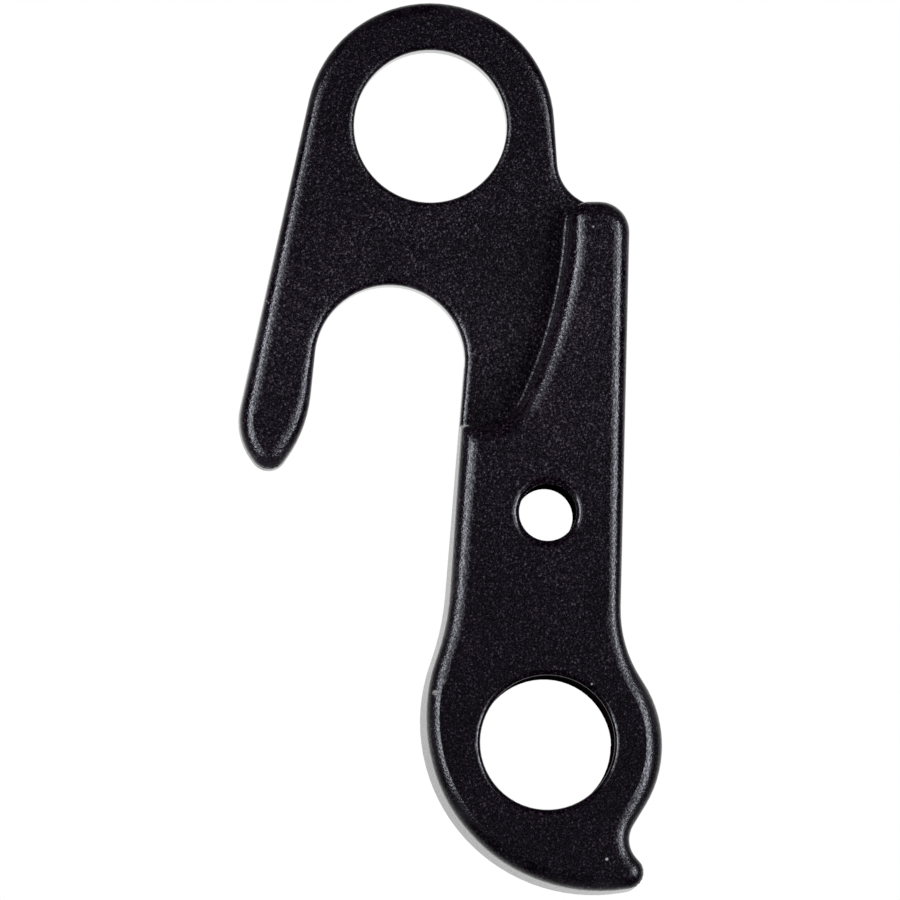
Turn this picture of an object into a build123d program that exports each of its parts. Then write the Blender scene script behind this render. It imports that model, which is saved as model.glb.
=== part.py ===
from build123d import *
from math import asin, atan2, cos, hypot, pi, radians, sin, sqrt
import os

# Rear derailleur hanger for a bicycle frame: one forged, bead-blasted aluminium piece.
# Origin: the wheel axle's centre line, in the face that seats on the frame's dropout.
# X points to the rear of the bicycle, Y outboard, Z up. Lengths are in millimetres.

# Thicknesses
plate_thickness = 3.0       # plate that lies on the outside of the dropout
step_height = 4.5           # how far the arm stands in front of the plate, the dropout's thickness

# Hole for the bolt that fixes the hanger to the frame, and the ring round it
frame_hole_x = 2.7
frame_hole_z = 15.63
frame_hole_diameter = 10.2
frame_hole_edge = 0.4       # rounding of its front rim
ring_wall = 3.2

# Slot for the wheel axle, open downwards
axle_slot_width = 10.0
slot_lean = 4.63            # degrees from upright, lower end to the front

# Finger in front of the slot
heel_x = -5.75
heel_z = -4.03
heel_radius = 4.32
finger_tip_radius = 1.25
finger_lean = 5.85          # degrees, the slot's front side
finger_inner_radius = 8.8
finger_inner_run = 2.85     # straight part of the slot's front side, below the axle

# Arm that carries the derailleur
arm_top_z = 10.33
arm_top_x = 13.82           # centre of the rear top corner
arm_top_radius = 2.03
arm_top_flat = 0.66
step_corner_radius = 1.3    # front top corner of the arm
arm_rear_lean = 1.4         # degrees
plate_rear_lean = -3.85     # degrees, from the ring down to the arm
cove_radius = 3.03          # hollow where the plate's rear edge runs into the arm

# Edge of the recess that the dropout fits in
shelf_z = -4.52             # lower edge, level
nose_x = 6.22               # where the edge starts to climb
nose_radius = 2.9
step_curve_radius = 32.0

# Derailleur hole, the drilled size for an M10 x 1 thread, and the boss round it
derailleur_hole_x = 10.34
derailleur_hole_z = -25.7
derailleur_hole_diameter = 8.92
derailleur_hole_edge = 0.35  # chamfer of its rims
boss_radius = 7.67
boss_drop = 0.15            # centre of the boss, below the hole's
waist_radius = 17.3         # hollow of the arm's front side
shoulder_radius = 8.2       # hollow of the arm's rear side
belly_offset_x = 3.28       # centre of the lower front curve, from the boss
belly_offset_z = 1.76
belly_radius = 11.55

# Claw that the derailleur's stop screw rests on
claw_angle = -40.7          # degrees round the boss, to the middle of the notch
claw_notch_radius = 1.8
claw_tip_radius = 1.15
claw_flank = 1.55           # straight part between the boss and the notch

# Small eyelet in the arm
eyelet_x = 10.37
eyelet_z = -10.4
eyelet_diameter = 3.8
eyelet_edge = 0.3           # chamfer of its rims

# Edges
plate_edge_radius = 0.95    # front edge of the plate
arm_edge_radius = 1.15      # front edge of the arm
back_edge_chamfer = 0.4     # edges of the flat back, round the outline and the frame hole
round_share = 0.95          # largest part of a corner that an edge rounding may take
blend_run = 0.3             # straight part between an outward and an inward curve
plate_root = 4.0            # how far the plate runs on below the shelf, inside the arm
plate_root_radius = 2.0
same_place = 0.001          # two lengths nearer than this count as one


# An outline is a list of rounds, each an x, a z and a radius, met anticlockwise.
# A radius above zero bulges out, one below zero is a hollow and zero is a sharp corner.
def heading(here, there):
    """Direction of the straight run that joins two rounds."""
    dx = there[0] - here[0]
    dz = there[1] - here[1]
    return atan2(dz, dx) + asin((here[2] - there[2]) / hypot(dx, dz))


def rim(place, direction):
    """Point of a round where the outline travels in the given direction."""
    x, z, radius = place
    return (x + radius * sin(direction), z - radius * cos(direction))


def outline(rounds):
    """Face inside a closed line of arcs and straight tangent runs."""
    following = rounds[1:] + rounds[:1]
    leaving = [heading(here, there) for here, there in zip(rounds, following)]
    arriving = leaving[-1:] + leaving[:-1]
    edges = []
    for here, there, start, end in zip(rounds, following, arriving, leaving):
        turn = (end - start) % (2 * pi)
        if here[2] < 0:
            turn -= 2 * pi
        if here[2] != 0:
            edges.append(ThreePointArc(rim(here, start), rim(here, start + turn / 2), rim(here, end)))
        edges.append(Line(rim(here, end), rim(there, end)))
    return make_face(edges)


def beside(anchor, side, lean, radius, run):
    """Round further down the same straight side as the anchor; side is 1 for rear, -1 for front."""
    down_x = -sin(radians(lean))
    down_z = -cos(radians(lean))
    gap = side * (anchor[2] - radius)
    return (anchor[0] - gap * down_z + run * down_x, anchor[1] + gap * down_x + run * down_z, radius)


def hollow_beside(anchor, side, lean, radius, stop):
    """Hollow that follows the anchor's side down until it runs out into the stop."""
    top = beside(anchor, side, lean, -radius, 0)
    dx = stop[0] - top[0]
    dz = stop[1] - top[1]
    along = -dx * sin(radians(lean)) - dz * cos(radians(lean))
    across = dx * cos(radians(lean)) - dz * sin(radians(lean))
    reach = hypot(radius + stop[2], blend_run)
    return beside(anchor, side, lean, -radius, along - sqrt(reach**2 - across**2))


def between(here, there, radius):
    """Round to the left of the way from one round to another, a short run from each."""
    dx = there[0] - here[0]
    dz = there[1] - here[1]
    span = hypot(dx, dz)
    first = hypot(here[2] - radius, blend_run)
    second = hypot(there[2] - radius, blend_run)
    along = (first**2 - second**2 + span**2) / (2 * span)
    across = sqrt(first**2 - along**2)
    return (
        here[0] + (along * dx - across * dz) / span,
        here[1] + (along * dz + across * dx) / span,
        radius,
    )


# Rounds of the plate
ring = (frame_hole_x, frame_hole_z, frame_hole_diameter / 2 + ring_wall)
axle_seat = (0, 0, -axle_slot_width / 2)
heel = (heel_x, heel_z, heel_radius)
finger_inner = beside(axle_seat, 1, finger_lean, finger_inner_radius, finger_inner_run)
finger_tip = between(heel, finger_inner, finger_tip_radius)

# Rounds of the arm above the shelf, where it stands on the plate
arm_corner = (arm_top_x, arm_top_z - arm_top_radius, arm_top_radius)
step_corner = (arm_top_x - arm_top_flat, arm_top_z - step_corner_radius, step_corner_radius)
nose = (nose_x, shelf_z + nose_radius, -nose_radius)
step_curve = between(nose, step_corner, -step_curve_radius)
shelf_run = (-shelf_z - axle_slot_width / 2 * sin(radians(slot_lean))) / cos(radians(slot_lean))
shelf_corner = beside(axle_seat, -1, slot_lean, 0, shelf_run)
plate_end = beside(axle_seat, -1, slot_lean, plate_root_radius, shelf_run + plate_root)
cove = hollow_beside(ring, 1, plate_rear_lean, cove_radius, arm_corner)

# Rounds of the arm below the shelf
boss = (derailleur_hole_x, derailleur_hole_z - boss_drop, boss_radius)
belly = (boss[0] + belly_offset_x, boss[1] + belly_offset_z, belly_radius)
waist = hollow_beside(axle_seat, -1, slot_lean, waist_radius, belly)
shoulder = hollow_beside(arm_corner, 1, arm_rear_lean, shoulder_radius, boss)
claw_reach = hypot(boss_radius + claw_notch_radius, claw_flank)
claw_notch = (
    boss[0] + claw_reach * cos(radians(claw_angle)),
    boss[1] + claw_reach * sin(radians(claw_angle)),
    -claw_notch_radius,
)
claw_tip = between(claw_notch, belly, claw_tip_radius)

plate_face = outline([ring, heel, finger_tip, finger_inner, axle_seat, plate_end, arm_corner, cove])
step_rounds = [arm_corner, step_corner, step_curve, nose, shelf_corner]
lower_rounds = [waist, belly, claw_tip, claw_notch, boss, shoulder]
arm_face = outline(step_rounds + lower_rounds)

# The plate and the arm, each with its front edge rolled over, become one solid with a flat back
seat_plane = Plane.XZ
arm_plane = seat_plane.offset(step_height)
full_thickness = plate_thickness + step_height
shelf_length = nose_x - shelf_corner[0]
plate_round = min(plate_edge_radius, round_share * finger_tip_radius)
arm_round = min(arm_edge_radius, round_share * min(claw_tip_radius, step_corner_radius, shelf_length))

plate = extrude(seat_plane * plate_face, amount=-plate_thickness)
plate = fillet(plate.faces().sort_by(Axis.Y)[0].edges(), plate_round)
arm = extrude(arm_plane * arm_face, amount=-full_thickness)
arm = fillet(arm.faces().sort_by(Axis.Y)[0].edges(), arm_round)
hanger = plate + arm
hanger = chamfer(hanger.faces().sort_by(Axis.Y)[-1].edges(), back_edge_chamfer)


def drill(solid, x, z, diameter):
    """Hole through the whole thickness, square to the seat."""
    cutter = Cylinder(diameter / 2, 2 * full_thickness, rotation=(90, 0, 0))
    return solid - Pos(x, 0, z) * cutter


def rims(solid, x, z, diameter):
    """The edges of a drilled hole, front and back."""
    def belongs(edge):
        off_axis = hypot(edge.arc_center.X - x, edge.arc_center.Z - z)
        return max(off_axis, abs(edge.radius - diameter / 2)) < same_place

    return solid.edges().filter_by(GeomType.CIRCLE).filter_by(belongs)


frame_hole = (frame_hole_x, frame_hole_z, frame_hole_diameter)
hanger = drill(hanger, *frame_hole)
hanger = chamfer(rims(hanger, *frame_hole).sort_by(Axis.Y)[-1], back_edge_chamfer)
hanger = fillet(rims(hanger, *frame_hole).sort_by(Axis.Y)[0], frame_hole_edge)
eyelet = (eyelet_x, eyelet_z, eyelet_diameter)
hanger = drill(hanger, *eyelet)
hanger = chamfer(rims(hanger, *eyelet), eyelet_edge)
derailleur_hole = (derailleur_hole_x, derailleur_hole_z, derailleur_hole_diameter)
hanger = drill(hanger, *derailleur_hole)
hanger = chamfer(rims(hanger, *derailleur_hole), derailleur_hole_edge)
hanger.label = "hanger"

os.makedirs("parts", exist_ok=True)
export_step(hanger, "parts/hanger.step")
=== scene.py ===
from math import cos, exp, hypot, radians, sin, sqrt
import bpy
from mathutils import Matrix, Vector
from mathutils.kdtree import KDTree


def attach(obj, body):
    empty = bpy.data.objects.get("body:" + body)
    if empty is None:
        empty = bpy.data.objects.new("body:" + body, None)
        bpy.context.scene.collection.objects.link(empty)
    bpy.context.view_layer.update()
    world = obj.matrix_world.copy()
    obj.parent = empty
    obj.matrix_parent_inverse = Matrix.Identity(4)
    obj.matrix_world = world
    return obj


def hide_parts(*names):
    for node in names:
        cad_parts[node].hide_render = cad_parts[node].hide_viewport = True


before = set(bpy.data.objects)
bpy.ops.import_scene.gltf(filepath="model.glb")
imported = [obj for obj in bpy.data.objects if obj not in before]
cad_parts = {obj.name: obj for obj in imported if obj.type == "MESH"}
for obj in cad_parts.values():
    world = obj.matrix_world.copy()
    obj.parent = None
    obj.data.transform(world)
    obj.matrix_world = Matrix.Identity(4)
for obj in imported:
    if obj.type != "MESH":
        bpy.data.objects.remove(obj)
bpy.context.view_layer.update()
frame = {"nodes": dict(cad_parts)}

solid = frame["nodes"]["hanger"]
print("frame loaded:", ", ".join(frame["nodes"]))


def pickOnly(piece):
    bpy.ops.object.select_all(action="DESELECT")
    piece.select_set(True)
    bpy.context.view_layer.objects.active = piece


def applyLast(piece):
    pickOnly(piece)
    bpy.ops.object.modifier_apply(modifier=piece.modifiers[-1].name)


def pickNone(piece, kind):
    # nothing is picked, and edit mode picks faces or edges from here on
    pickOnly(piece)
    bpy.ops.object.mode_set(mode="EDIT")
    bpy.ops.mesh.select_mode(type=kind)
    bpy.ops.mesh.select_all(action="DESELECT")
    bpy.ops.object.mode_set(mode="OBJECT")


def selectFaces(piece, wanted):
    pickNone(piece, "FACE")
    for face in piece.data.polygons:
        face.select = wanted(face)
    bpy.ops.object.mode_set(mode="EDIT")


def mergePoints(piece, gap):
    pickOnly(piece)
    bpy.ops.object.mode_set(mode="EDIT")
    bpy.ops.mesh.select_all(action="SELECT")
    bpy.ops.mesh.remove_doubles(threshold=gap)
    bpy.ops.object.mode_set(mode="OBJECT")


# the forging: a merged copy of the solid, so its edges can be eased and a thread cut in it
forging = {
    "mergeGap": 1e-7,
    "joinAngle": radians(0.1),      # faces that turn less than this are one flat face
    "smoothAngle": radians(28),
    "flatWeight": 100,              # how much large faces count where the shading is smoothed
}

pickOnly(solid)
bpy.ops.object.duplicate()
hanger = bpy.context.active_object
hanger.name = "hangerForging"
pickOnly(hanger)
bpy.ops.mesh.customdata_custom_splitnormals_clear()
mergePoints(hanger, forging["mergeGap"])
hanger.data.attributes.new("rub", "FLOAT", "POINT")     # 1 along the middle of a rolled edge
print("copy merged:", len(hanger.data.vertices), "points")


# the bores, and the rounded front rims of the two in the arm
bores = {
    "frameBolt": {"x": 0.0027, "z": 0.01563, "radius": 0.0051},
    "eyelet": {"x": 0.01037, "z": -0.0104, "radius": 0.0019, "solidEdge": 0.0003, "rimRound": 0.0005},
    "derailleur": {
        "x": 0.01034, "z": -0.0257, "radius": 0.00446, "solidEdge": 0.00035, "rimRound": 0.0004,
    },
}
axleSlot = {"radius": 0.005, "lowEnd": -0.0004, "slack": 3e-5}      # its round end; the axle is the origin
seatFront = 0
armFront = -0.0045
rimReach = 0.0007       # no rolled edge comes this near to a bore
rimShare = 0.7          # how much of a rim's depth has the rim's finish; the wall's starts there
sameLevel = 1e-6        # heights nearer than this are one
sameRound = 2e-5        # slack on a bore's radius, because its wall is faceted
flatLimit = 0.9999      # a flat front face's normal points at least this much to the front
boreLimit = 0.95        # those of a bore's wall and thread point less than this to the front or back
uprightLimit = 0.3      # and a straight wall's less than this
mm = 1000               # in a metre


# The solid's front edges are rolled over by one radius all round. On the real piece they are
# fuller in some places than in others, and the walls there lean in a little.
# Each place is x, z, the radius of the roll and how far its wall leans in, all in mm.
rolledEdges = {
    "plate": {
        "front": 0.0,
        "solidRadius": 0.95,
        "reach": 2.0,
        "places": [
            (2.7, 23.8, 0.95, 0), (-5.7, 16.5, 0.95, 0), (-7.6, 7.8, 0.92, 0.03),
            (-9.4, 0.5, 1.1, 0.05), (-10.1, -3.6, 1.4, 0.06), (-8.1, -7.3, 1.1, 0.04),
            (-5.7, -4.2, 1.15, 0), (-5.1, -1.2, 0.72, 0), (-4.6, 1.7, 0.58, 0),
            (0.0, 4.9, 0.58, 0), (2.9, 3.8, 0.6, 0), (4.5, 1.4, 0.62, 0),
            (4.7, -1.5, 0.55, 0), (4.6, -4.2, 0.5, 0), (12.5, 10.9, 0.5, 0),
            (11.2, 13.4, 0.56, 0), (11.0, 16.4, 0.8, 0), (10.0, 19.3, 0.9, 0),
        ],
    },
    "arm": {
        "front": -4.5,
        "solidRadius": 1.0925,
        "reach": 1.9,
        "places": [
            (12.7, 9.7, 0.95, 0), (12.4, 7.3, 1.8, 0), (12.1, 4.6, 1.35, 0.05),
            (10.5, -0.7, 1.35, 0.05), (8.7, -3.2, 1.3, 0.03), (6.6, -4.5, 1.4, 0),
            (4.7, -4.6, 1.45, 0), (4.5, -6.4, 1.45, 0.06), (3.8, -13.4, 1.25, 0.14),
            (2.9, -19.3, 1.25, 0.19), (2.0, -25.2, 1.5, 0.26), (4.0, -30.8, 1.5, 0.22),
            (8.4, -34.6, 1.45, 0.17), (13.5, -35.6, 1.3, 0.13), (16.5, -35.2, 1.05, 0.03),
            (16.0, -32.7, 0.85, 0), (17.0, -29.7, 1.3, 0), (18.0, -24.9, 1.65, 0),
            (17.2, -22.0, 1.4, 0), (15.8, -19.4, 0.92, 0), (15.3, -16.5, 0.88, 0),
            (15.5, -10.5, 1.0, 0), (15.7, -4.5, 1.13, 0), (15.8, 1.5, 1.35, 0),
            (15.9, 7.0, 1.35, 0), (15.2, 9.7, 1.15, 0),
        ],
    },
}
# how a point is told to be on a roll, in mm
rollTests = {
    "digits": 4,            # decimals to which the copy's points and the solid's agree
    "slack": 0.001,
    "normalSlack": 0.03,
    "footGap": 0.03,        # from the flat face's rim to where its roll starts
    "sameWall": 0.98,       # walls whose normals agree less than this meet in a corner
    "leastWeight": 1e-9,    # so a point far from every place still gets a radius
}


def rollAt(x, z, edge):
    radiusSum = leanSum = weightSum = 0
    for placeX, placeZ, radius, leanIn in edge["places"]:
        away = hypot(x - placeX, z - placeZ) / edge["reach"]
        weight = exp(-0.5 * away ** 2) + rollTests["leastWeight"]
        radiusSum += weight * radius
        leanSum += weight * leanIn
        weightSum += weight
    return radiusSum / weightSum, leanSum / weightSum


def wayOut(normals):
    # straight out of the wall, or along the mitre where two walls meet in a corner
    flat = [Vector((normal.x, 0, normal.z)).normalized() for normal in normals]
    other = min(flat, key=flat[0].dot)
    if flat[0].dot(other) > rollTests["sameWall"]:
        return flat[0]
    return (flat[0] + other) / (1 + flat[0].dot(other))


def offAxis(place, bore):
    return hypot(place.x - bore["x"], place.z - bore["z"])


def atBore(place):
    return any(offAxis(place, bore) < bore["radius"] + rimReach for bore in bores.values())


def roundedOff(place):
    return tuple(round(value, rollTests["digits"]) for value in place)


def easeEdge(body, edge):
    front, radius, slack = edge["front"], edge["solidRadius"], rollTests["slack"]
    solidNormals = {}
    for corner, normal in zip(solid.data.loops, solid.data.corner_normals):
        key = roundedOff(solid.data.vertices[corner.vertex_index].co * mm)
        solidNormals.setdefault(key, []).append(normal.vector.copy())
    # every point of the roll, with how far round the roll it is and the way out of its wall
    rollPoints, flatPoints, wallFeet = [], [], []
    for point in body.data.vertices:
        place = point.co * mm
        height = place.y - front
        if not -slack < height < radius + slack or atBore(point.co):
            continue
        tilt = max(radius - height, 0) / radius
        normals = solidNormals.get(roundedOff(place), [])
        found = [normal for normal in normals if abs(normal.y + tilt) < rollTests["normalSlack"]]
        if not found:
            continue
        if tilt > 1 - slack:
            flatPoints.append((point.index, place))
            continue
        outward = wayOut(found)
        rollPoints.append((point.index, place, tilt, outward))
        if tilt < slack:
            wallFeet.append((place - outward * radius, outward))
    feet = KDTree(len(wallFeet))
    for index, (foot, outward) in enumerate(wallFeet):
        feet.insert((foot.x, 0, foot.z), index)
    feet.balance()
    for index, place in flatPoints:
        which, gap = feet.find((place.x, 0, place.z))[1:]
        if gap < rollTests["footGap"]:
            rollPoints.append((index, place, 1, wallFeet[which][1]))
    rub = body.data.attributes["rub"]
    for index, place, tilt, outward in rollPoints:
        inset = 1 - sqrt(1 - tilt ** 2)
        wall = place + outward * inset * radius
        newRadius, leanIn = rollAt(wall.x, wall.z, edge)
        change = newRadius - radius
        moved = place - outward * (inset * change + leanIn) + Vector((0, (1 - tilt) * change, 0))
        body.data.vertices[index].co = moved / mm
        rub.data[index].value = max(rub.data[index].value, 4 * tilt * (1 - tilt))
    return len(rollPoints)


for name, edge in rolledEdges.items():
    print("eased the", name, "edge:", easeEdge(hanger, edge), "points")

# the step's wall, from just under its rolled edge down: nothing rubs it there, and its faces get painted
# shade further on
stepWall = {
    "low": (0.0055, -0.00405, -0.0047),
    "high": (0.013, -0.0003, 0.0102),
}


def onStepWall(place):
    return all(low < value < high for low, value, high in zip(stepWall["low"], place, stepWall["high"]))


for point, rub in zip(hanger.data.vertices, hanger.data.attributes["rub"].data):
    if onStepWall(point.co):
        rub.value = 0


# two small rounds: one along the foot of the step,
# and one on the mitre where the shelf meets the arm's front side
stepFoot = {
    "round": 0.0003,
    "frontEnd": 0.0058,         # stops short of the slot
    "topEnd": 0.0099,           # and short of the arm's top
    "wallStart": -0.0001,       # the step's wall is in front of this
    "segments": 5,
}
shelfMitre = {
    "round": 0.00042,
    "corner": (0.004667, -0.004538),
    "run": (0.00132, -0.001432),
    "share": 0.8,               # of the run, from the corner on
    "backEnd": -0.003,
    "slack": 3e-5,
    "cornerSlack": 1e-5,
    "segments": 4,
}


def bevelEdges(body, wanted, place):
    pickNone(body, "EDGE")
    beside = {}
    for face in body.data.polygons:
        for key in face.edge_keys:
            beside.setdefault(key, []).append(face)
    for edge in body.data.edges:
        ends = [body.data.vertices[index].co for index in edge.vertices]
        edge.select = wanted(ends, beside[edge.key])
    found = sum(edge.select for edge in body.data.edges)
    bpy.ops.object.mode_set(mode="EDIT")
    bpy.ops.mesh.bevel(offset=place["round"], segments=place["segments"], affect="EDGES")
    bpy.ops.object.mode_set(mode="OBJECT")
    return found


def onFlat(level):
    return lambda face: face.normal.y < -flatLimit and abs(face.center.y - level) < sameLevel


def joinFlat(body, level):
    # a flat front face back in a few large pieces, so that the smoothing leaves it flat
    selectFaces(body, onFlat(level))
    bpy.ops.mesh.select_mode(type="VERT")       # takes out the points left along its straight edges too
    bpy.ops.mesh.dissolve_limited(angle_limit=forging["joinAngle"])
    bpy.ops.object.mode_set(mode="OBJECT")


def atFoot(ends, faces):
    for end in ends:
        if abs(end.y - seatFront) > sameLevel or end.x < stepFoot["frontEnd"] or end.z > stepFoot["topEnd"]:
            return False
    walls = [face for face in faces if abs(face.normal.y) < uprightLimit]
    onStep = any(wall.center.y < stepFoot["wallStart"] for wall in walls)
    return onStep and any(map(onFlat(seatFront), faces))


def atMitre(ends, faces):
    # its place says enough here, so the faces beside the edge aren't looked at
    cornerX, cornerZ = shelfMitre["corner"]
    runX, runZ = shelfMitre["run"]
    length = hypot(runX, runZ)
    for end in ends:
        along = ((end.x - cornerX) * runX + (end.z - cornerZ) * runZ) / length
        off = ((end.x - cornerX) * runZ - (end.z - cornerZ) * runX) / length
        if abs(off) > shelfMitre["slack"] or end.y > shelfMitre["backEnd"]:
            return False
        if not -shelfMitre["cornerSlack"] < along < length * shelfMitre["share"]:
            return False
    return True


joinFlat(hanger, seatFront)
footEdges = bevelEdges(hanger, atFoot, stepFoot)
mitreEdges = bevelEdges(hanger, atMitre, shelfMitre)
print("rounded", footEdges, "edges of the foot and", mitreEdges, "of the mitre")


# cuts round a bore: how near the points are that merge
cutting = {
    "cutterMerge": 1e-8,
    "bodyMerge": 1e-6,
}
# the rounded rims
rimCut = {
    "closedEdge": 0.00005,      # what stays of the solid's chamfer before the cut
    "angles": (4, 88),          # degrees, from just off the flat face to just off the wall
    "arcSteps": 8,
    "turnSteps": 96,
}
# M10 x 1 thread for the derailleur's bolt, cut outwards from the drilled wall
derailleurThread = {
    "rootRadius": 0.005,
    "innerRadius": 0.0043,      # the cutter reaches into the open bore
    "rootFlat": 0.00012,
    "slope": 0.57735,           # half the width of a 60 degree groove, for its depth
    "pitch": 0.001,
    "turns": 6,
    "firstTurn": -0.00365,      # just under the front rim
    "steps": 72,
}


def cutSpun(body, bore, profile, steps, turns=1, pitch=0):
    # cuts away what a closed profile of (radius, y) points sweeps round a bore's axis
    bpy.ops.object.select_all(action="DESELECT")
    bpy.ops.mesh.primitive_circle_add(vertices=len(profile), location=(bore["x"], 0, bore["z"]))
    cutter = bpy.context.active_object
    for point, (radius, y) in zip(cutter.data.vertices, profile):
        point.co = (radius, y, 0)
    spin = cutter.modifiers.new("spin", "SCREW")
    spin.axis = "Y"
    spin.angle = radians(360)
    spin.screw_offset = pitch
    spin.iterations = turns
    spin.steps = spin.render_steps = steps
    applyLast(cutter)
    mergePoints(cutter, cutting["cutterMerge"])
    bpy.ops.object.mode_set(mode="EDIT")
    bpy.ops.mesh.select_all(action="SELECT")
    bpy.ops.mesh.fill_holes(sides=len(profile))
    bpy.ops.mesh.select_all(action="SELECT")
    bpy.ops.mesh.normals_make_consistent(inside=False)
    bpy.ops.object.mode_set(mode="OBJECT")
    bpy.ops.object.transform_apply(location=True, rotation=True, scale=True)
    cut = body.modifiers.new("cut", "BOOLEAN")
    cut.operation = "DIFFERENCE"
    cut.solver = "EXACT"
    cut.object = cutter
    applyLast(body)
    bpy.data.objects.remove(cutter)
    mergePoints(body, cutting["bodyMerge"])


def roundRim(body, bore):
    rimRound = bore["rimRound"]
    # the solid's chamfer closes up first, to leave enough metal for the round
    middleOfBore = Vector((bore["x"], armFront, bore["z"]))
    for point in body.data.vertices:
        away = point.co - middleOfBore
        off = hypot(away.x, away.z)
        if abs(off - bore["radius"]) < sameRound and abs(away.y - bore["solidEdge"]) < sameRound:
            point.co.y = armFront + rimCut["closedEdge"]
        elif abs(off - bore["radius"] - bore["solidEdge"]) < sameRound and abs(away.y) < sameRound:
            closer = (bore["radius"] + rimCut["closedEdge"]) / off
            point.co.x = bore["x"] + away.x * closer
            point.co.z = bore["z"] + away.z * closer
    middle = (bore["radius"] + rimRound, armFront + rimRound)
    first, last = rimCut["angles"]
    arc = []
    for step in range(rimCut["arcSteps"] + 1):
        angle = radians(first + (last - first) * step / rimCut["arcSteps"])
        arc.append((middle[0] - rimRound * sin(angle), middle[1] - rimRound * cos(angle)))
    clear = bore["radius"] - rimRound
    outside = [(clear, middle[1]), (clear, armFront - rimRound), (arc[0][0], armFront - rimRound)]
    cutSpun(body, bore, arc + outside, rimCut["turnSteps"])


def cutThread(body, bore, thread):
    halfRoot = thread["rootFlat"] / 2
    halfMouth = halfRoot + (thread["rootRadius"] - thread["innerRadius"]) * thread["slope"]
    start = thread["firstTurn"]
    groove = [
        (thread["rootRadius"], start - halfRoot),
        (thread["rootRadius"], start + halfRoot),
        (thread["innerRadius"], start + halfMouth),
        (thread["innerRadius"], start - halfMouth),
    ]
    cutSpun(body, bore, groove, thread["steps"], thread["turns"], thread["pitch"])


roundRim(hanger, bores["eyelet"])
roundRim(hanger, bores["derailleur"])
cutThread(hanger, bores["derailleur"], derailleurThread)
joinFlat(hanger, armFront)
print("rims rounded and thread cut:", len(hanger.data.polygons), "faces")

pickOnly(hanger)
bpy.ops.object.shade_smooth_by_angle(angle=forging["smoothAngle"])
weigh = hanger.modifiers.new("flatFaces", "WEIGHTED_NORMAL")    # flat faces stay flat beside the rolls
weigh.keep_sharp = True
weigh.weight = forging["flatWeight"]
applyLast(hanger)


def addNode(tree, kind, **settings):
    made = tree.nodes.new(kind)
    for name, value in settings.items():
        setattr(made, name, value)
    return made


def feed(tree, socket, value):
    # a fixed value is set on the socket itself, and another node's output is linked to it
    if isinstance(value, (int, float, tuple)):
        socket.default_value = value
    else:
        tree.links.new(value, socket)


def addNoise(tree, place, scale, detail, roughness=0.5):
    noise = addNode(tree, "ShaderNodeTexNoise")
    noise.inputs["Scale"].default_value = scale
    noise.inputs["Detail"].default_value = detail
    noise.inputs["Roughness"].default_value = roughness
    tree.links.new(place, noise.inputs["Vector"])
    return noise.outputs["Fac"]


def addRamp(tree, value, stops):
    ramp = addNode(tree, "ShaderNodeValToRGB")
    made = ramp.color_ramp.elements     # starts with two stops
    for index, (position, colour) in enumerate(stops):
        stop = made[index] if index < 2 else made.new(position)
        stop.position = position
        stop.color = colour
    tree.links.new(value, ramp.inputs["Fac"])
    return ramp.outputs["Color"]


def addRange(tree, value, fromMin, fromMax, toMin, toMax):
    spread = addNode(tree, "ShaderNodeMapRange")
    limits = {"From Min": fromMin, "From Max": fromMax, "To Min": toMin, "To Max": toMax}
    for name, number in limits.items():
        spread.inputs[name].default_value = number
    tree.links.new(value, spread.inputs["Value"])
    return spread.outputs["Result"]


def addMath(tree, operation, first, second):
    made = addNode(tree, "ShaderNodeMath", operation=operation)
    feed(tree, made.inputs[0], first)
    feed(tree, made.inputs[1], second)
    return made.outputs["Value"]


def addMix(tree, amount, first, second):
    mix = addNode(tree, "ShaderNodeMix", data_type="RGBA")
    tree.links.new(amount, mix.inputs["Factor"])
    feed(tree, mix.inputs["A"], first)
    feed(tree, mix.inputs["B"], second)
    return mix.outputs["Result"]


def addMapping(tree, place, setting, value):
    mapping = addNode(tree, "ShaderNodeMapping")
    mapping.inputs[setting].default_value = value
    tree.links.new(place, mapping.inputs["Vector"])
    return mapping.outputs["Vector"]


def addBump(tree, height, depth, strength):
    bump = addNode(tree, "ShaderNodeBump")
    bump.inputs["Distance"].default_value = depth
    feed(tree, bump.inputs["Strength"], strength)
    tree.links.new(height, bump.inputs["Height"])
    return bump.outputs["Normal"]


def startMaterial(name):
    material = bpy.data.materials.new(name)
    material.use_nodes = True
    return material, material.node_tree, material.node_tree.nodes["Principled BSDF"]


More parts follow.
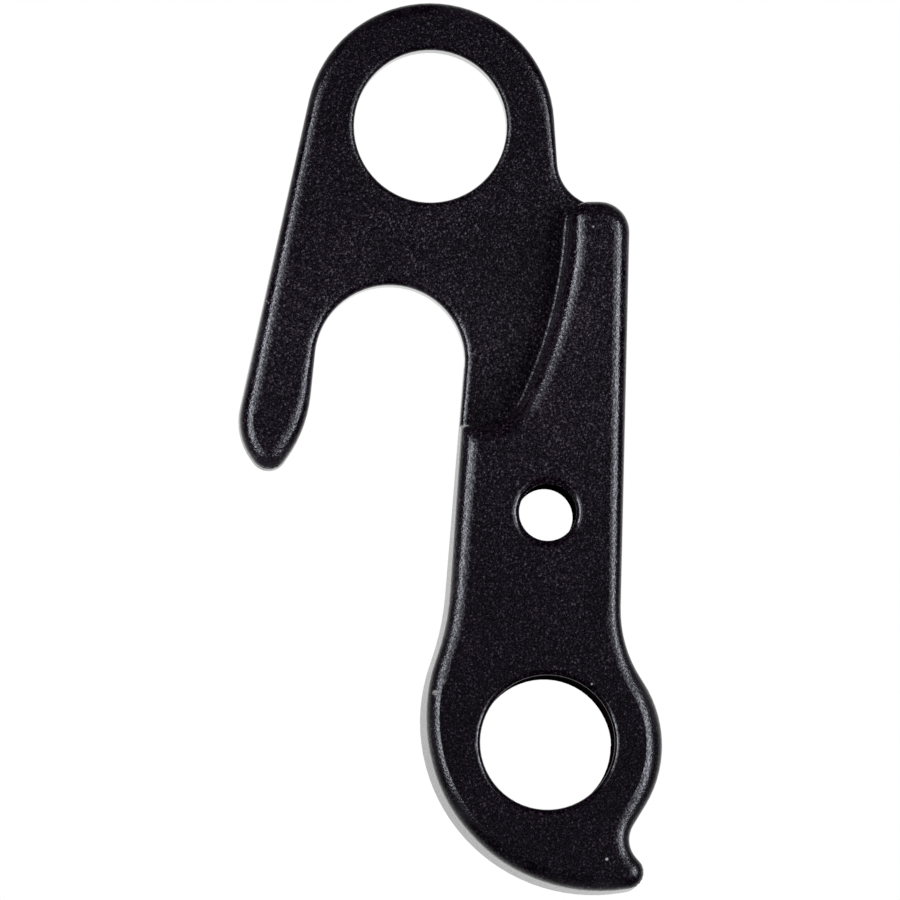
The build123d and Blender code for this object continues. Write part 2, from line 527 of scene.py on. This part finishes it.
# bead-blasted aluminium, anodised black:
# the dye is deep in the hollows of the grain and thin on its crests
blackFinish = {
    "dyes": [
        (0.36, (0.0003, 0.0001, 0.0005, 1)), (0.76, (0.0750, 0.0570, 0.0710, 1)),
        (0.50, (0.0033, 0.0010, 0.0036, 1)), (0.62, (0.0139, 0.0080, 0.0137, 1)),
    ],
    "rubbed": (0.0300, 0.0285, 0.0320, 1),      # along the edges
    "rubbedCloud": (0.45, 0.7),
    "rubbedMost": 0.5,
    "cloudScale": 240,
    "cloudDetail": 4,
    "cloudSpan": (0.3, 0.7),
    "cloudDye": (-0.03, 0.03),
    "grainScale": 6600,
    "grainDetail": 1.5,
    "grainRoughness": 0.6,
    "grainTurn": (0.5, 0.3, 0.7),   # keeps the noise's own grid off the flat faces
    "grainDepth": 0.00004,
    "armLevels": (-0.024, 0.002),   # from the boss up to the recess the colour gets lighter: painted light that lifts the step's shade off the recess
    "armPaintedLight": (-0.045, 0.01),
    "armGrain": (0.6, 1),           # and the grain deeper
    "ringLevels": (0.003, 0.02),    # from there up to the ring the colour gets darker and the gloss weaker
    "ringDarker": 0.05,
    "ringDull": 0.1,
    "gloss": [(0.40, (0.35, 0.35, 0.35, 1)), (0.62, (1, 1, 1, 1))],
    "ior": 1.68,                    # of the clear oxide
    "specular": 0.5,
    "roughSpan": (0.35, 0.65),
    "roughHollow": 0.29,
    "roughCrest": 0.2,
    "lowAngle": (0.72, 0.97),       # where the surface is seen this low, its grain counts less
    "lowAngleGrain": 0.75,
    "polishSpan": (0.1, 0.45),      # the upper edges are rubbed smoother
    "polishGrain": 0.55,
}
# the step's wall, its reflection nearly turned off: painted shade along the crease of the step
stepPaintedShade = {
    "specular": 0.04,
}
# the same dye on the rounded rims, which are cut smooth
rimFinish = {
    "grainDepth": 0.000008,
    "roughHollow": 0.2,
    "roughCrest": 0.14,
}
# small chips down to the metal: x, y, z and half the width, in mm
chips = {
    "metal": (0.32, 0.305, 0.275, 1),
    "depthShare": 0.1,          # the depth counts little, so that a spot reaches the surface
    "edge": (0.6, 1.2),         # where a spot starts to fade and where it ends, for its width
    "grainSpan": (0.35, 0.5),   # the grain makes it ragged
    "grainLeast": 0.4,
    "places": [
        (2.88, -4.0, -22.4, 0.17), (5.0, -4.5, -31.23, 0.08), (14.27, -4.5, -33.45, 0.10),
        (13.27, -4.5, -21.83, 0.07), (13.4, -4.5, 8.57, 0.07), (10.2, -3.6, -35.3, 0.07),
        (-8.35, 0.4, 4.03, 0.06), (-8.22, 0.3, 3.92, 0.06), (-8.1, 0.2, 3.8, 0.06),
        (4.7, -3.9, -4.66, 0.12), (4.87, -3.9, -4.6, 0.10), (5.0, -3.9, -4.57, 0.08),
        (5.14, -3.9, -4.55, 0.07), (5.26, -3.9, -4.54, 0.06),
    ],
}


def addChips(tree, place, grain):
    squash = addNode(tree, "ShaderNodeVectorMath", operation="MULTIPLY")
    squash.inputs[1].default_value = (mm, mm * chips["depthShare"], mm)
    tree.links.new(place, squash.inputs[0])
    fadeStart, fadeEnd = chips["edge"]
    chipped = None
    for x, y, z, width in chips["places"]:
        away = addNode(tree, "ShaderNodeVectorMath", operation="DISTANCE")
        tree.links.new(squash.outputs["Vector"], away.inputs[0])
        away.inputs[1].default_value = (x, y * chips["depthShare"], z)
        spot = addRange(tree, away.outputs["Value"], width * fadeStart, width * fadeEnd, 1, 0)
        chipped = addMath(tree, "MAXIMUM", chipped, spot) if chipped else spot
    ragged = addRange(tree, grain, *chips["grainSpan"], chips["grainLeast"], 1)
    return addMath(tree, "MULTIPLY", chipped, ragged)


def makeBlackFinish(name, finish):
    material, tree, shader = startMaterial(name)
    link = tree.links.new
    shader.inputs["Specular IOR Level"].default_value = finish["specular"]
    shader.inputs["IOR"].default_value = finish["ior"]
    place = addNode(tree, "ShaderNodeTexCoord").outputs["Object"]
    cloud = addNoise(tree, place, finish["cloudScale"], finish["cloudDetail"])
    turned = addMapping(tree, place, "Rotation", finish["grainTurn"])
    grain = addNoise(tree, turned, finish["grainScale"], finish["grainDetail"], finish["grainRoughness"])
    rub = addNode(tree, "ShaderNodeAttribute", attribute_name="rub").outputs["Fac"]
    split = addNode(tree, "ShaderNodeSeparateXYZ")
    link(place, split.inputs["Vector"])
    upArm = addRange(tree, split.outputs["Z"], *finish["armLevels"], 0, 1)
    upRing = addRange(tree, split.outputs["Z"], *finish["ringLevels"], 0, 1)

    # colour: the dye, lighter towards the recess as painted light and darker towards the ring, rubbed along
    # the edges and chipped
    uneven = addMath(tree, "ADD", grain, addRange(tree, cloud, *finish["cloudSpan"], *finish["cloudDye"]))
    uneven = addMath(tree, "ADD", uneven, addRange(tree, upArm, 0, 1, *finish["armPaintedLight"]))
    uneven = addMath(tree, "ADD", uneven, addMath(tree, "MULTIPLY", upRing, -finish["ringDarker"]))
    dye = addRamp(tree, uneven, finish["dyes"])
    patchy = addRange(tree, cloud, *finish["rubbedCloud"], 0, finish["rubbedMost"])
    dye = addMix(tree, addMath(tree, "MULTIPLY", rub, patchy), dye, finish["rubbed"])
    chipped = addMix(tree, addChips(tree, place, grain), dye, chips["metal"])
    link(chipped, shader.inputs["Base Color"])

    # grain: less of it where it is seen low, on the rubbed upper edges and round the boss
    facing = addNode(tree, "ShaderNodeLayerWeight").outputs["Facing"]
    coarse = addRange(tree, facing, *finish["lowAngle"], 1, finish["lowAngleGrain"])
    upperRub = addMath(tree, "MULTIPLY", rub, addMath(tree, "POWER", upArm, 2))
    polish = addRange(tree, upperRub, *finish["polishSpan"], 1, finish["polishGrain"])
    coarse = addMath(tree, "MULTIPLY", coarse, polish)
    strength = addMath(tree, "MULTIPLY", coarse, addRange(tree, upArm, 0, 1, *finish["armGrain"]))
    link(addBump(tree, grain, finish["grainDepth"], strength), shader.inputs["Normal"])

    # gloss: smoother and brighter on the crests
    rough = addRange(tree, grain, *finish["roughSpan"], finish["roughHollow"], finish["roughCrest"])
    link(addMath(tree, "MULTIPLY", rough, coarse), shader.inputs["Roughness"])
    crest = addMath(tree, "ADD", grain, addMath(tree, "MULTIPLY", upRing, -finish["ringDull"]))
    link(addRamp(tree, crest, finish["gloss"]), shader.inputs["Specular Tint"])
    return material


# tool marks on the walls of the bores
cutMarks = {
    "scale": 900,
    "stretch": (1, 8, 1),       # they run round the bore
    "detail": 3,
    "dyeSpan": (0.35, 0.7),
    "roughSpan": (0.3, 0.7),
}
# the eyelet's and the thread's walls: cut after the blasting and rough, kept dark with no reflection as
# painted shade inside the bores
boreCutAndPaintedShade = {
    "dye": (0.0022, 0.0012, 0.0014, 1),
    "lightDye": (0.0050, 0.0030, 0.0034, 1),
    "markDepth": 0.00001,
    "rough": (0.7, 0.85),
    "specular": 0,
}
# the frame bolt's bore and the round end of the slot:
# reamed, so their walls mirror the background at a low angle
reamedFinish = {
    "dye": (0.0040, 0.0030, 0.0042, 1),
    "lightDye": (0.0090, 0.0075, 0.0095, 1),
    "markDepth": 0.000002,
    "rough": (0.03, 0.07),
    "specular": 0.5,
}


def makeCutFinish(name, finish):
    material, tree, shader = startMaterial(name)
    link = tree.links.new
    shader.inputs["Specular IOR Level"].default_value = finish["specular"]
    place = addNode(tree, "ShaderNodeTexCoord").outputs["Object"]
    stretched = addMapping(tree, place, "Scale", cutMarks["stretch"])
    mark = addNoise(tree, stretched, cutMarks["scale"], cutMarks["detail"])
    dyes = zip(cutMarks["dyeSpan"], (finish["dye"], finish["lightDye"]))
    link(addRamp(tree, mark, dyes), shader.inputs["Base Color"])
    rough = addRange(tree, mark, *cutMarks["roughSpan"], *finish["rough"])
    link(rough, shader.inputs["Roughness"])
    link(addBump(tree, mark, finish["markDepth"], 1), shader.inputs["Normal"])
    return material


def onWall(name):
    bore = bores[name]
    deepest = derailleurThread["rootRadius"] if name == "derailleur" else bore["radius"]

    def wanted(face):
        if offAxis(face.center, bore) > deepest + sameRound or abs(face.normal.y) > boreLimit:
            return False
        return "rimRound" not in bore or face.center.y > armFront + bore["rimRound"] * rimShare

    return wanted


def onRim(name):
    bore = bores[name]
    outer = bore["radius"] + bore["rimRound"] + sameRound

    def wanted(face):
        deep = face.center.y - armFront
        return offAxis(face.center, bore) < outer and sameLevel < deep < bore["rimRound"] * rimShare

    return wanted


def inSlotEnd(face):
    if abs(hypot(face.center.x, face.center.z) - axleSlot["radius"]) > axleSlot["slack"]:
        return False
    return face.center.z > axleSlot["lowEnd"] and abs(face.normal.y) < uprightLimit


hanger.data.materials.clear()
hanger.data.materials.append(makeBlackFinish("blackAnodised", blackFinish))
hanger.data.materials.append(makeCutFinish("boreBlackPaintedShade", boreCutAndPaintedShade))
hanger.data.materials.append(makeCutFinish("reamedBlack", reamedFinish))
hanger.data.materials.append(makeBlackFinish("stepBlackPaintedShade", blackFinish | stepPaintedShade))
hanger.data.materials.append(makeBlackFinish("rimBlack", blackFinish | rimFinish))


def paintFaces(finish, wanted):
    selectFaces(hanger, wanted)
    hanger.active_material_index = hanger.data.materials.find(finish)
    bpy.ops.object.material_slot_assign()
    bpy.ops.object.mode_set(mode="OBJECT")


# painted shade on the walls of the eyelet and the thread
paintFaces("boreBlackPaintedShade", onWall("eyelet"))
paintFaces("boreBlackPaintedShade", onWall("derailleur"))
paintFaces("reamedBlack", onWall("frameBolt"))
paintFaces("reamedBlack", inSlotEnd)
# painted shade on the step's wall
paintFaces("stepBlackPaintedShade", lambda face: onStepWall(face.center))
paintFaces("rimBlack", onRim("eyelet"))
paintFaces("rimBlack", onRim("derailleur"))

# many-sided faces in clean triangles, with no slivers
clean = hanger.modifiers.new("cleanTriangles", "TRIANGULATE")
clean.ngon_method = "BEAUTY"
clean.min_vertices = 5
clean.keep_custom_normals = True
applyLast(hanger)
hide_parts("hanger")
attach(hanger, "root")
painted = sum(face.material_index > 0 for face in hanger.data.polygons)
print("finishes on:", painted, "faces in the bores, on their rims and on the step")


# camera: a long lens, a little to the left of the part and below it
shot = {
    "target": (0.004, 0, -0.00604),
    "towards": (0.0293, 0.998, 0.058),
    "distance": 1.0,
    "frameWidth": 0.06,
    "sensor": 36,
    "clip": (0.05, 20),
}
lensData = bpy.data.cameras.new("shotCamera")
lensData.sensor_width = shot["sensor"]
lensData.lens = shot["sensor"] * shot["distance"] / shot["frameWidth"]
lensData.clip_start, lensData.clip_end = shot["clip"]
camera = bpy.data.objects.new("shotCamera", lensData)
bpy.context.scene.collection.objects.link(camera)
towards = Vector(shot["towards"]).normalized()
camera.location = Vector(shot["target"]) - towards * shot["distance"]
camera.rotation_euler = towards.to_track_quat("-Z", "Y").to_euler()
bpy.context.scene.camera = camera


# floor: pale and plain, well under the part
floorPaint = {
    "height": -0.3,
    "size": 8,
    "colour": (0.8, 0.8, 0.8, 1),
    "roughness": 0.7,
    "glow": 0.55,           # seen by the camera only, so it looks pale and keeps its shadow
}
white = (1, 1, 1, 1)
bpy.ops.object.select_all(action="DESELECT")
bpy.ops.mesh.primitive_plane_add(size=floorPaint["size"], location=(0, 0, floorPaint["height"]))
floor = bpy.context.active_object
floor.name = "studioFloor"
floor.visible_glossy = False
floorMaterial, floorTree, floorShader = startMaterial("paleFloor")
floorShader.inputs["Base Color"].default_value = floorPaint["colour"]
floorShader.inputs["Roughness"].default_value = floorPaint["roughness"]
floorShader.inputs["Emission Color"].default_value = white
floorPath = addNode(floorTree, "ShaderNodeLightPath")
floorGlow = addRange(floorTree, floorPath.outputs["Is Camera Ray"], 0, 1, 0, floorPaint["glow"])
floorTree.links.new(floorGlow, floorShader.inputs["Emission Strength"])
floor.data.materials.append(floorMaterial)


# a soft box on each side, level with the part, and a dimmer one nearer to the lens
lamps = {
    "leftBox": {"angle": -57.7, "width": 0.21, "watts": 2.25},
    "rightBox": {"angle": 54.3, "width": 0.21, "watts": 2.25},
    "leftFill": {"angle": -35, "width": 0.26, "watts": 0.66},
    "rightFill": {"angle": 32, "width": 0.27, "watts": 0.68},
}
everyLamp = {
    "distance": 0.6,
    "height": 0.44,
    "colour": (0.87, 0.91, 1),
}
for name, box in lamps.items():
    lampData = bpy.data.lights.new(name, "AREA")
    lampData.shape = "RECTANGLE"
    lampData.size = box["width"]
    lampData.size_y = everyLamp["height"]
    lampData.energy = box["watts"]
    lampData.color = everyLamp["colour"]
    lamp = bpy.data.objects.new(name, lampData)
    bpy.context.scene.collection.objects.link(lamp)
    away = Matrix.Rotation(radians(box["angle"]), 3, "Z") @ Vector((0, -everyLamp["distance"], 0))
    lamp.location = Vector(shot["target"]) + away
    lamp.rotation_euler = (-away).to_track_quat("-Z", "Y").to_euler()
    lamp.visible_camera = False


# white seen behind the part, dim light from everywhere else
room = {
    "ambient": 0.4,
    "frontGlow": 0.008,         # what the finish mirrors on the camera's side
    "backdropEdge": (0.25, 1),
}
world = bpy.data.worlds.new("studio")
bpy.context.scene.world = world
world.use_nodes = True
worldTree = world.node_tree
worldTree.nodes.clear()
worldLink = worldTree.links.new


def addBackground(strength):
    background = addNode(worldTree, "ShaderNodeBackground")
    background.inputs["Color"].default_value = white
    feed(worldTree, background.inputs["Strength"], strength)
    return background.outputs["Background"]


def addShaderMix(amount, first, second):
    mix = addNode(worldTree, "ShaderNodeMixShader")
    worldLink(amount, mix.inputs["Fac"])
    worldLink(first, mix.inputs[1])
    worldLink(second, mix.inputs[2])
    return mix.outputs["Shader"]


split = addNode(worldTree, "ShaderNodeSeparateXYZ")
worldLink(addNode(worldTree, "ShaderNodeTexCoord").outputs["Generated"], split.inputs["Vector"])
behind = addRange(worldTree, split.outputs["Y"], *room["backdropEdge"], room["frontGlow"], 1)
path = addNode(worldTree, "ShaderNodeLightPath")
ambient = addBackground(room["ambient"])
mirrored = addShaderMix(path.outputs["Is Glossy Ray"], ambient, addBackground(behind))
seen = addShaderMix(path.outputs["Is Camera Ray"], mirrored, addBackground(1))
worldLink(seen, addNode(worldTree, "ShaderNodeOutputWorld").inputs["Surface"])

bpy.context.scene.view_settings.view_transform = "Standard"
print("camera, floor and light set")
